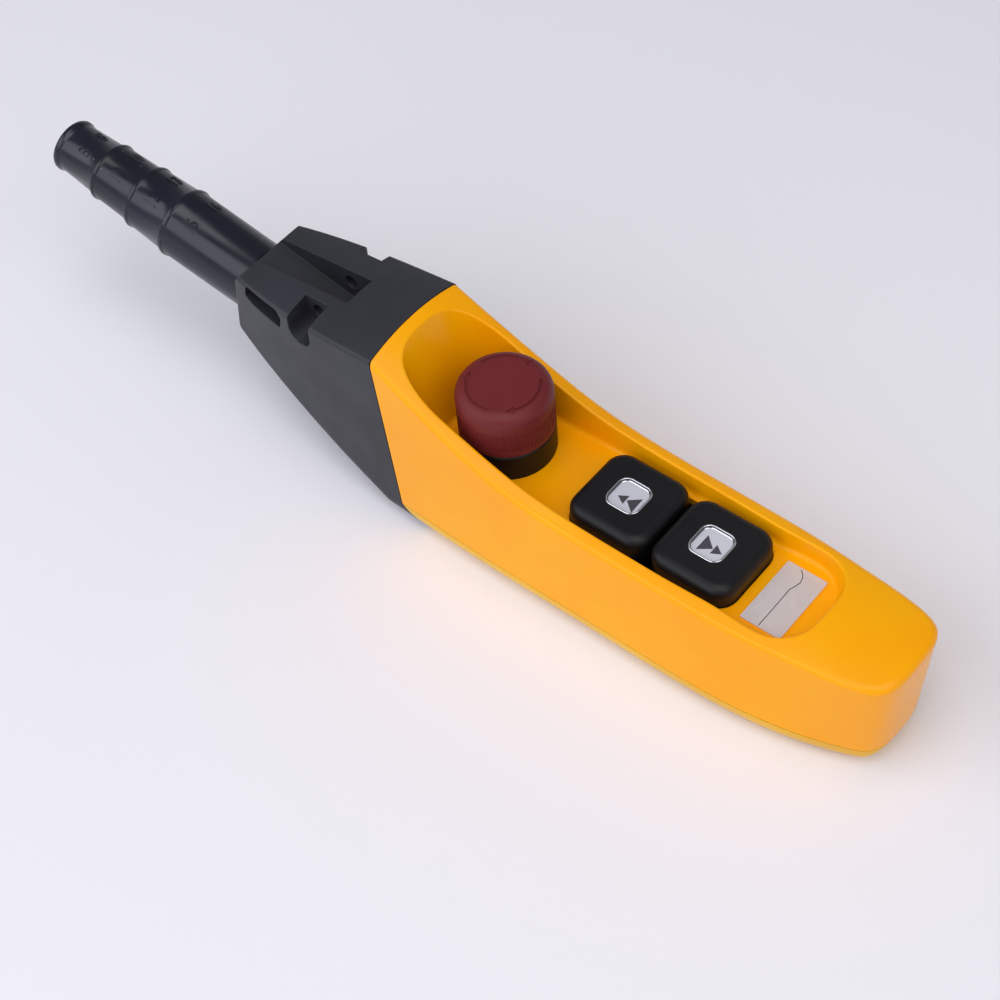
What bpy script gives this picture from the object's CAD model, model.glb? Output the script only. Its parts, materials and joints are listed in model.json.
"""Looks of a crane pendant control: moulded details, finishes, floor, light and camera."""
import json
import math
import bpy
from mathutils import Matrix, Vector


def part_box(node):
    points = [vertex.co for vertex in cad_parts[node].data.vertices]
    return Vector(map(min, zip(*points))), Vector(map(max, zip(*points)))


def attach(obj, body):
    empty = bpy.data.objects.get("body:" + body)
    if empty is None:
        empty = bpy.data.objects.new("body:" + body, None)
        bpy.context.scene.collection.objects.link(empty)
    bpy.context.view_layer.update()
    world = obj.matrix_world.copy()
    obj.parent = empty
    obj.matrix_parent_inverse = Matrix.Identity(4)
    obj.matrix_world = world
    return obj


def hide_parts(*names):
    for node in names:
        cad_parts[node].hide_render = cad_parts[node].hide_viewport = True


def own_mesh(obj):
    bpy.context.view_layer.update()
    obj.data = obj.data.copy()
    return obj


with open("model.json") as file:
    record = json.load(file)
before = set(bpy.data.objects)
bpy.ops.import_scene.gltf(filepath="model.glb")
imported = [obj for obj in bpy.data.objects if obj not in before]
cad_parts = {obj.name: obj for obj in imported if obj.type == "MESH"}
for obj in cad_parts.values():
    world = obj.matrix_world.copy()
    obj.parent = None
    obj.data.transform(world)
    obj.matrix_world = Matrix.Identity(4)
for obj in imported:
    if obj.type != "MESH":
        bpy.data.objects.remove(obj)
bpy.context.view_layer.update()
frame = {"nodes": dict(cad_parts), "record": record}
nodes = frame["nodes"]
MM = 0.001

# Sizes in millimetres, on the axes of the solids
UP_X, DOWN_X = 66.0, 96.0        # middles of the two keys
LENS_SIZE = 11.8
LENS_CORNER_R = 3.4
LENS_FOOT = 41.75
LENS_WALL_H = 1.68
LENS_FACE = 42.8                 # height of a lens's face, a little below its rim
PRINT_RISE = 0.04
COIL_R = 7.4                     # middle of the wire of a key's spring
WIRE_R = 0.5
COIL_TURNS = 4
LABEL_TOP = 36.46
RULE_R = 0.14
BOOT_ROOT = (-81.04, 0, 47.6)    # where the boot's axis leaves the head
BOOT_TILT = math.atan(0.1637)
NUMBER_SIZE = 6.6
NUMBER_RISE = 0.3
NUMBER_NARROWING = 0.75


def tone(code):
    """sRGB hex value to the linear colour that a shader takes."""
    parts = [int(code[i:i + 2], 16) / 255 for i in (1, 3, 5)]
    linear = [p / 12.92 if p <= 0.04045 else ((p + 0.055) / 1.055) ** 2.4 for p in parts]
    return (*linear, 1.0)


def put(tree, kind, settings=(), links=()):
    """Add a node with its settings, and values or links for its sockets."""
    made = tree.nodes.new(kind)
    for name, value in dict(settings).items():
        setattr(made, name, value)
    for socket, value in dict(links).items():
        if isinstance(value, bpy.types.NodeSocket):
            tree.links.new(value, made.inputs[socket])
        else:
            made.inputs[socket].default_value = value
    return made


def finish_tree(name):
    """A new material with its shader, its output and the object's own coordinates."""
    material = bpy.data.materials.new(name)
    material.use_nodes = True
    tree = material.node_tree
    tree.nodes.clear()
    shader = put(tree, "ShaderNodeBsdfPrincipled")
    put(tree, "ShaderNodeOutputMaterial", links={"Surface": shader.outputs[0]})
    place = put(tree, "ShaderNodeTexCoord").outputs["Object"]
    return material, tree, shader, place


def moulded(name, light, dark, rough, grain_mm, grain, ripple=0.0, dust=0.0, shine=0.5, edge=0.0):
    """Moulded plastic or rubber.

    The colour drifts slowly between two tones, handling leaves slightly duller patches, and the
    surface has its tool's grain, a slow ripple from cooling and a few specks of dust.
    """
    material, tree, shader, place = finish_tree(name)
    drift = put(tree, "ShaderNodeTexNoise", links={"Vector": place, "Scale": 1 / (30 * MM), "Detail": 3.0})
    share = put(tree, "ShaderNodeMapRange",
                links={"Value": drift.outputs["Fac"], "From Min": 0.35, "From Max": 0.65})
    colour = put(tree, "ShaderNodeMix", {"data_type": "RGBA"}, {"Factor": share.outputs[0]})
    colour.inputs[6].default_value = tone(dark)
    colour.inputs[7].default_value = tone(light)
    result = colour.outputs[2]
    if dust:
        cells = put(tree, "ShaderNodeTexVoronoi", links={"Vector": place, "Scale": 1 / (3.2 * MM)})
        speck = put(tree, "ShaderNodeMapRange",
                    links={"Value": cells.outputs["Distance"], "From Min": 0.04, "From Max": 0.08,
                           "To Min": dust, "To Max": 0.0})
        clouds = put(tree, "ShaderNodeTexNoise",
                     links={"Vector": place, "Scale": 1 / (14 * MM), "Detail": 1.0})
        where = put(tree, "ShaderNodeMapRange",
                    links={"Value": clouds.outputs["Fac"], "From Min": 0.5, "From Max": 0.62})
        amount = put(tree, "ShaderNodeMath", {"operation": "MULTIPLY"},
                     {0: speck.outputs[0], 1: where.outputs[0]})
        dusty = put(tree, "ShaderNodeMix", {"data_type": "RGBA"}, {"Factor": amount.outputs[0]})
        tree.links.new(result, dusty.inputs[6])
        dusty.inputs[7].default_value = tone("#A9A9AF")
        result = dusty.outputs[2]
    tree.links.new(result, shader.inputs["Base Color"])
    smear = put(tree, "ShaderNodeTexNoise", links={"Vector": place, "Scale": 1 / (11 * MM), "Detail": 4.0})
    gloss = put(tree, "ShaderNodeMapRange",
                links={"Value": smear.outputs["Fac"], "From Min": 0.35, "From Max": 0.7,
                       "To Min": rough - 0.02, "To Max": rough + 0.05})
    tree.links.new(gloss.outputs[0], shader.inputs["Roughness"])
    fine = put(tree, "ShaderNodeTexNoise",
               links={"Vector": place, "Scale": 1 / (grain_mm * MM), "Detail": 2.0})
    bump = put(tree, "ShaderNodeBump",
               links={"Height": fine.outputs["Fac"], "Strength": grain, "Distance": 0.1 * MM})
    if edge:
        soft = put(tree, "ShaderNodeBevel", {"samples": 6}, {"Radius": edge * MM})
        tree.links.new(soft.outputs[0], bump.inputs["Normal"])
    if ripple:
        slow = put(tree, "ShaderNodeTexNoise", links={"Vector": place, "Scale": 1 / (9 * MM), "Detail": 0.0})
        bump = put(tree, "ShaderNodeBump", links={"Height": slow.outputs["Fac"], "Strength": ripple,
                                                  "Distance": 0.3 * MM, "Normal": bump.outputs[0]})
    tree.links.new(bump.outputs[0], shader.inputs["Normal"])
    shader.inputs["Specular IOR Level"].default_value = shine
    return material


def metal(name, light, dark, rough, grain_mm, stretch=(1, 1, 1), share=1.0):
    """Plated, drawn or brushed metal with a grain that may run one way."""
    material, tree, shader, place = finish_tree(name)
    turned = put(tree, "ShaderNodeMapping", links={"Vector": place, "Scale": stretch})
    fine = put(tree, "ShaderNodeTexNoise",
               links={"Vector": turned.outputs[0], "Scale": 1 / (grain_mm * MM), "Detail": 3.0})
    mix = put(tree, "ShaderNodeMix", {"data_type": "RGBA"}, {"Factor": fine.outputs["Fac"]})
    mix.inputs[6].default_value = tone(dark)
    mix.inputs[7].default_value = tone(light)
    tree.links.new(mix.outputs[2], shader.inputs["Base Color"])
    gloss = put(tree, "ShaderNodeMapRange",
                links={"Value": fine.outputs["Fac"], "From Min": 0.3, "From Max": 0.7,
                       "To Min": rough - 0.06, "To Max": rough + 0.06})
    tree.links.new(gloss.outputs[0], shader.inputs["Roughness"])
    bump = put(tree, "ShaderNodeBump",
               links={"Height": fine.outputs["Fac"], "Strength": 0.15, "Distance": 0.05 * MM})
    tree.links.new(bump.outputs[0], shader.inputs["Normal"])
    shader.inputs["Metallic"].default_value = share
    return material


# Each finish: its name, its two tones, roughness, size of its grain in millimetres and its depth
FINISHES = {
    # Polished-tool ABS: a deep amber with clear reflections
    "yellow_shell": moulded("glossy_amber_abs", "#FFAE00", "#FFA700", 0.22, 0.3, 0.015,
                            ripple=0.03, shine=0.22, edge=0.3),
    # The same plastic from another tool: a little greener and duller
    "yellow_back": moulded("satin_yellow_abs", "#EFB800", "#E6AC00", 0.3, 0.3, 0.03, ripple=0.03, edge=0.3),
    # Soft cord: dull black
    "seal_rubber": moulded("seal_rubber_cord", "#17171A", "#101012", 0.6, 0.4, 0.1),
    # Spark-eroded grain: a dull blue-black that spreads the light
    "head_black": moulded("spark_grained_nylon", "#282932", "#222329", 0.5, 0.4, 0.3,
                          ripple=0.03, dust=0.35, edge=0.5),
    # Moulded against polished steel: blue-black with one soft band of light
    "boot_rubber": moulded("smooth_moulded_rubber", "#0F1525", "#0B101D", 0.22, 0.5, 0.02,
                           ripple=0.015, dust=0.5),
    # Soft-touch skin: the blackest surface, with only a weak sheen
    "key_rubber": moulded("soft_key_rubber", "#121215", "#0D0D10", 0.42, 0.3, 0.08, ripple=0.02, shine=0.3),
    # Satin moulding: black, with almost no reflection
    "collar_black": moulded("satin_collar_nylon", "#0D0D10", "#09090B", 0.4, 0.3, 0.06, shine=0.2),
    # Pigmented acetal: dull maroon with a soft highlight on its shoulder
    "stop_red": moulded("maroon_acetal", "#6F2427", "#662023", 0.45, 0.35, 0.08,
                        ripple=0.02, shine=0.25, edge=0.2),
    # Satin silver film behind clear plastic: an even pale grey
    "lens_grey": moulded("silvered_lens_film", "#CDCDD5", "#C3C3CC", 0.28, 0.5, 0.02),
    # Silvered film with a brushed face: a pale sheen with fine lines
    "label_metal": metal("brushed_label_film", "#F0E5E3", "#DDD3D2", 0.5, 0.3, (1, 0.12, 1), 0.55),
    # Glass fibres near the surface: dull black
    "inner_black": moulded("glass_filled_nylon", "#222225", "#1B1B1E", 0.55, 0.3, 0.2),
    # Unpigmented acetal: waxy white
    "inner_white": moulded("natural_acetal", "#E4E2DA", "#DAD8CF", 0.4, 0.3, 0.06),
    # Zinc on rolled sheet: cool grey with faint clouds
    "plate_steel": metal("zinc_plated_sheet", "#C9CBD0", "#B3B5BB", 0.35, 1.2),
    # Zinc on a headed screw: bright cool grey
    "steel_zinc": metal("zinc_plated_screw", "#D0D2D6", "#BABCC2", 0.3, 0.8),
    # Drawn wire: mid grey with a fine grain
    "spring_steel": metal("drawn_spring_wire", "#B9BBC0", "#A2A4AA", 0.3, 0.3),
    # Stamped strip: warm and bright
    "contact_brass": metal("stamped_brass", "#D8B45A", "#C9A24A", 0.3, 0.6),
}
for row in frame["record"]["subparts"]:
    shape = nodes[row["node"]]
    shape.data.materials.clear()
    shape.data.materials.append(FINISHES[row["material_slot"]])
# Pad-printed ink: flat dark grey
LENS_INK = moulded("grey_pad_print", "#48464E", "#403E45", 0.45, 0.2, 0.02)
# Black print on the label: sharp and flat
LABEL_INK = moulded("black_label_ink", "#1C1C1F", "#161618", 0.4, 0.2, 0.02)
# Polished rim of a lens: a thin bright line
LENS_RIM = metal("polished_lens_rim", "#F2F2F6", "#E8E8EE", 0.14, 0.6)
# Smoked inner wall of a lens: a dark band under the rim
LENS_WALL = moulded("smoked_lens_wall", "#4A4A53", "#41414A", 0.2, 0.3, 0.01)


def tidy_selection():
    """Leave nothing selected and no object in edit mode."""
    if bpy.context.object and bpy.context.object.mode != "OBJECT":
        bpy.ops.object.mode_set(mode="OBJECT")
    bpy.ops.object.select_all(action="DESELECT")


def settle(piece, name, slot, body, place=None, angle=35):
    """Bake a piece's place into its mesh and give it its name, finish and body."""
    tidy_selection()
    piece.name = name
    if place is not None:
        piece.matrix_world = place @ piece.matrix_world
    piece.select_set(True)
    bpy.context.view_layer.objects.active = piece
    bpy.ops.object.transform_apply(location=True, rotation=True, scale=True)
    bpy.ops.object.shade_smooth_by_angle(angle=math.radians(angle))
    piece.data.materials.clear()
    piece.data.materials.append(FINISHES[slot])
    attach(piece, body)
    return piece


def ink(piece, material):
    """Give a printed mark its ink."""
    piece.data.materials.clear()
    piece.data.materials.append(material)


BOOT_TURN = Matrix.Rotation(BOOT_TILT - math.pi / 2, 4, "Y")
BOOT_PLACE = Matrix.Translation(Vector(BOOT_ROOT) * MM) @ BOOT_TURN


def bead(middle, before, after, crest, half):
    """Stations of one rounded ring of the sleeve: distance along it and radius."""
    shape = [(-half - 0.35, 0.0), (-half, 0.25), (-half * 0.7, 0.8), (0.0, 1.0),
             (half * 0.7, 0.8), (half, 0.25), (half + 0.35, 0.0)]
    stations = []
    for step, share in shape:
        base = before if step <= 0 else after
        stations.append((middle + step, base + (crest - base) * share))
    return stations


def boot_sleeve():
    """Rubber sleeve, drawn ring by ring from its root to its lip and back through its bore."""
    rings = bead(34.8, 11.8, 11.5, 12.35, 0.85)
    rings += bead(51.1, 10.85, 10.3, 11.35, 0.8)
    rings += bead(67.4, 9.9, 9.4, 10.4, 0.75)
    lip = [(82.8, 8.65), (83.4, 8.75), (83.9, 9.1), (84.5, 9.3), (85.3, 9.25), (85.9, 8.9), (86.0, 8.4)]
    bore = [(86.0, 5.4), (85.6, 5.0), (67.4, 5.0), (67.2, 6.0), (51.1, 6.0), (50.9, 7.0), (34.8, 7.0),
            (34.6, 8.2), (-6.6, 8.2)]
    clip_in_neck = [(-6.6, 12.3), (-3.6, 12.3), (-3.6, 10.4), (0.1, 10.4)]
    root = [(0.1, 11.65)]
    stations = root + rings + lip + bore + clip_in_neck + root
    tidy_selection()
    start, radius = stations[0]
    bpy.ops.mesh.primitive_circle_add(vertices=96, radius=radius * MM, location=(0, 0, start * MM))
    sleeve = bpy.context.object
    bpy.ops.object.mode_set(mode="EDIT")
    for (s0, r0), (s1, r1) in zip(stations, stations[1:]):
        bpy.ops.mesh.extrude_region_move(TRANSFORM_OT_translate={"value": (0, 0, (s1 - s0) * MM)})
        bpy.ops.transform.resize(value=(r1 / r0, r1 / r0, 1))
    bpy.ops.mesh.select_all(action="SELECT")
    bpy.ops.mesh.remove_doubles(threshold=0.00001)
    bpy.ops.mesh.normals_make_consistent(inside=False)
    bpy.ops.object.mode_set(mode="OBJECT")
    settle(sleeve, "boot_sleeve", "boot_rubber", "housing", BOOT_PLACE)
    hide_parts("cable_boot")


def boot_number(digits, s, around, radius, name):
    """Raised cable size, wrapped on the sleeve with its top towards the boot's tip."""
    tidy_selection()
    bpy.ops.object.text_add()
    words = bpy.context.object
    words.data.body = digits
    words.data.size = NUMBER_SIZE * MM
    words.data.space_character = 1.05
    words.data.extrude = NUMBER_RISE * MM
    words.data.bevel_depth = 0.06 * MM
    words.data.align_x = "CENTER"
    words.data.align_y = "CENTER"
    words.data.resolution_u = 3
    bpy.ops.object.convert(target="MESH")
    for corner in words.data.vertices:
        across, up, rise = corner.co
        turn = math.radians(around) - NUMBER_NARROWING * across / (radius * MM)
        reach = radius * MM + rise
        corner.co = (reach * math.sin(turn), reach * math.cos(turn), s * MM + up)
    settle(words, name, "boot_rubber", "housing", BOOT_PLACE, 25)


def lens_window(x, name, node, body):
    """Window of a key: a polished rim, a dark inner wall and a silvered face below the rim."""
    tidy_selection()
    bpy.ops.mesh.primitive_plane_add(size=LENS_SIZE * MM, location=(x * MM, 0, LENS_FOOT * MM))
    window = bpy.context.object
    bpy.ops.object.mode_set(mode="EDIT")
    bpy.ops.mesh.select_all(action="SELECT")
    bpy.ops.mesh.bevel(affect="VERTICES", offset=LENS_CORNER_R * MM, segments=12)
    bpy.ops.mesh.select_all(action="SELECT")
    bpy.ops.mesh.extrude_region_move(TRANSFORM_OT_translate={"value": (0, 0, LENS_WALL_H * MM)})
    outer_edge, rim, inner_edge = (0.1, 0.1), (0.22, 0.02), (0.1, -0.06)
    wall, foot, border = (0.35, -0.55), (0.16, -0.13), (0.5, -0.01)
    for inwards, rise in (outer_edge, rim, inner_edge, wall, foot, border):
        bpy.ops.mesh.inset(thickness=inwards * MM, depth=rise * MM)
    bpy.ops.mesh.select_all(action="SELECT")
    bpy.ops.mesh.normals_make_consistent(inside=False)
    settle(window, name, "lens_grey", body, angle=30)
    window.data.materials.append(LENS_RIM)
    window.data.materials.append(LENS_WALL)
    for face in window.data.polygons:
        height = face.center.z / MM
        leaning = 0.2 < face.normal.z < 0.95
        if face.normal.z > 0.2 and height > 43.42:
            face.material_index = 1
        elif leaning and height > 42.95:
            face.material_index = 2
        elif leaning:
            face.material_index = 1
    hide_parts(node)


def lens_arrow(corners, body, name):
    """Printed triangle on a lens."""
    tidy_selection()
    bpy.ops.mesh.primitive_circle_add(vertices=3, radius=MM, fill_type="NGON")
    mark = bpy.context.object
    for corner, (x, y) in zip(mark.data.vertices, corners):
        corner.co = (x * MM, y * MM, LENS_FACE * MM)
    bpy.ops.object.mode_set(mode="EDIT")
    bpy.ops.mesh.select_all(action="SELECT")
    bpy.ops.mesh.extrude_region_move(TRANSFORM_OT_translate={"value": (0, 0, PRINT_RISE * MM)})
    bpy.ops.mesh.select_all(action="SELECT")
    bpy.ops.mesh.normals_make_consistent(inside=False)
    ink(settle(mark, name, "lens_grey", body), LENS_INK)


def key_spring(x, node):
    """Coil under a key, wound from one ring of wire, with a closed ring at each end."""
    low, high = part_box(node)
    foot = low[2] + WIRE_R * MM
    head = high[2] - WIRE_R * MM
    tidy_selection()
    bpy.ops.mesh.primitive_circle_add(vertices=12, radius=WIRE_R * MM, location=(x * MM, 0, foot))
    spring = bpy.context.object
    bpy.ops.object.mode_set(mode="EDIT")
    bpy.ops.transform.rotate(value=math.pi / 2, orient_axis="X", center_override=(x * MM, 0, foot))
    bpy.ops.transform.translate(value=(COIL_R * MM, 0, 0))
    bpy.ops.object.mode_set(mode="OBJECT")
    winding = spring.modifiers.new("winding", "SCREW")
    winding.screw_offset = (high[2] - low[2] - 2 * WIRE_R * MM) / COIL_TURNS
    winding.iterations = COIL_TURNS
    winding.steps = 40
    winding.render_steps = 40
    bpy.ops.object.modifier_apply(modifier=winding.name)
    bpy.ops.object.mode_set(mode="EDIT")
    bpy.ops.mesh.select_all(action="SELECT")
    bpy.ops.mesh.fill_holes(sides=12)
    bpy.ops.object.mode_set(mode="OBJECT")
    coils = [spring]
    for height in (foot, head):
        bpy.ops.mesh.primitive_torus_add(major_radius=COIL_R * MM, minor_radius=WIRE_R * MM,
                                         major_segments=40, minor_segments=10,
                                         location=(x * MM, 0, height))
        coils.append(bpy.context.object)
    for ring in coils:
        ring.select_set(True)
    bpy.context.view_layer.objects.active = spring
    bpy.ops.object.join()
    bpy.ops.object.mode_set(mode="EDIT")
    bpy.ops.mesh.select_all(action="SELECT")
    bpy.ops.mesh.normals_make_consistent(inside=False)
    settle(spring, node + "_coil", "spring_steel", "housing")
    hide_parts(node)
    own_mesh(spring)


def label_rule():
    """Thin printed line across the blank label."""
    tidy_selection()
    bpy.ops.curve.primitive_nurbs_path_add()
    line = bpy.context.object
    line.data.splines.clear()
    spline = line.data.splines.new("POLY")
    path = [(120.6, -11.8), (120.6, 0.0), (120.5, 3.6), (121.2, 5.6), (121.7, 7.5), (121.3, 9.4),
            (120.4, 10.7), (119.4, 11.5)]
    spline.points.add(len(path) - 1)
    for point, (x, y) in zip(spline.points, path):
        point.co = (x * MM, y * MM, LABEL_TOP * MM, 1)
    line.data.bevel_depth = RULE_R * MM
    line.data.bevel_resolution = 2
    line.data.use_fill_caps = True
    bpy.ops.object.convert(target="MESH")
    ink(settle(line, "label_rule", "label_metal", "housing"), LABEL_INK)


boot_sleeve()
for digits, s, radius in (("8", 75.2, 9.0), ("10", 59.5, 9.98), ("13", 43.0, 11.16), ("16", 25.8, 11.72)):
    for side, around in (("near", 120), ("far", 63)):
        boot_number(digits, s, around, radius, "boot_size_%s_%s" % (digits, side))
lens_window(UP_X, "up_lens_window", "up_lens", "up_button")
lens_window(DOWN_X, "down_lens_window", "down_lens", "down_button")
lens_arrow([(63.0, -1.4), (65.96, 0.4), (66.0, -3.2)], "up_button", "up_arrow_small")
lens_arrow([(66.25, -1.4), (69.9, 1.7), (70.1, -4.4)], "up_button", "up_arrow_large")
lens_arrow([(93.15, 2.2), (93.1, -4.1), (97.1, -1.15)], "down_button", "down_arrow_large")
lens_arrow([(97.3, 0.75), (97.3, -3.0), (100.3, -1.3)], "down_button", "down_arrow_small")
key_spring(UP_X, "up_spring")
key_spring(DOWN_X, "down_spring")
label_rule()


def softbox(name, spot, wide, high, power, colour):
    """Large soft lamp that faces the object."""
    lamp = bpy.data.lights.new(name, "AREA")
    lamp.shape = "RECTANGLE"
    lamp.size = wide
    lamp.size_y = high
    lamp.energy = power
    lamp.color = tone(colour)[:3]
    thing = bpy.data.objects.new(name, lamp)
    bpy.context.collection.objects.link(thing)
    thing.location = spot
    thing.rotation_euler = (-Vector(spot)).to_track_quat("-Z", "Y").to_euler()


def paper_floor():
    """Wide sheet of pale matt paper."""
    bpy.ops.mesh.primitive_plane_add(size=6.0, location=(0, 0, 0))
    paper = bpy.context.object
    paper.name = "paper_floor"
    material, _, shader, _ = finish_tree("matt_white_paper")
    shader.inputs["Base Color"].default_value = tone("#F1EFF5")
    shader.inputs["Roughness"].default_value = 0.9
    paper.data.materials.append(material)


def studio_room():
    """Soft light from all round, brighter near the floor, as a white room gives it."""
    world = bpy.data.worlds.new("studio_room")
    bpy.context.scene.world = world
    world.use_nodes = True
    tree = world.node_tree
    direction = put(tree, "ShaderNodeTexCoord").outputs["Generated"]
    height = put(tree, "ShaderNodeSeparateXYZ", links={"Vector": direction}).outputs["Z"]
    level = put(tree, "ShaderNodeMapRange", {"interpolation_type": "SMOOTHSTEP"},
                {"Value": height, "From Min": 0.02, "From Max": 0.45, "To Min": 0.75, "To Max": 0.26})
    back = tree.nodes["Background"]
    back.inputs["Color"].default_value = tone("#F3F4F9")
    tree.links.new(level.outputs[0], back.inputs["Strength"])


def camera():
    """Camera where the photographer stood, fitted to the object's own outlines."""
    data = bpy.data.cameras.new("view")
    data.lens = 78.36
    data.sensor_width = 36.0
    thing = bpy.data.objects.new("view", data)
    bpy.context.collection.objects.link(thing)
    across = (0.774975, 0.628548, -0.065888)
    down = (0.459059, -0.631505, -0.624873)
    away = (-0.434372, 0.454015, -0.777941)
    turn = Matrix([[across[i], -down[i], -away[i]] for i in range(3)])
    thing.matrix_world = Matrix.Translation((0.31572, -0.31584, 0.54403)) @ turn.to_4x4()
    bpy.context.scene.camera = thing


paper_floor()
studio_room()
softbox("left_softbox", (-0.48, -0.9, 0.83), 1.9, 0.9, 10.0, "#F4F8FF")
softbox("ceiling_softbox", (0.3, -0.3, 1.45), 0.9, 1.5, 8.9, "#FFFFFF")
softbox("front_softbox", (1.1, -0.25, 0.95), 0.9, 0.9, 3.5, "#FFFFFF")
camera()
bpy.context.scene.view_settings.view_transform = "Standard"
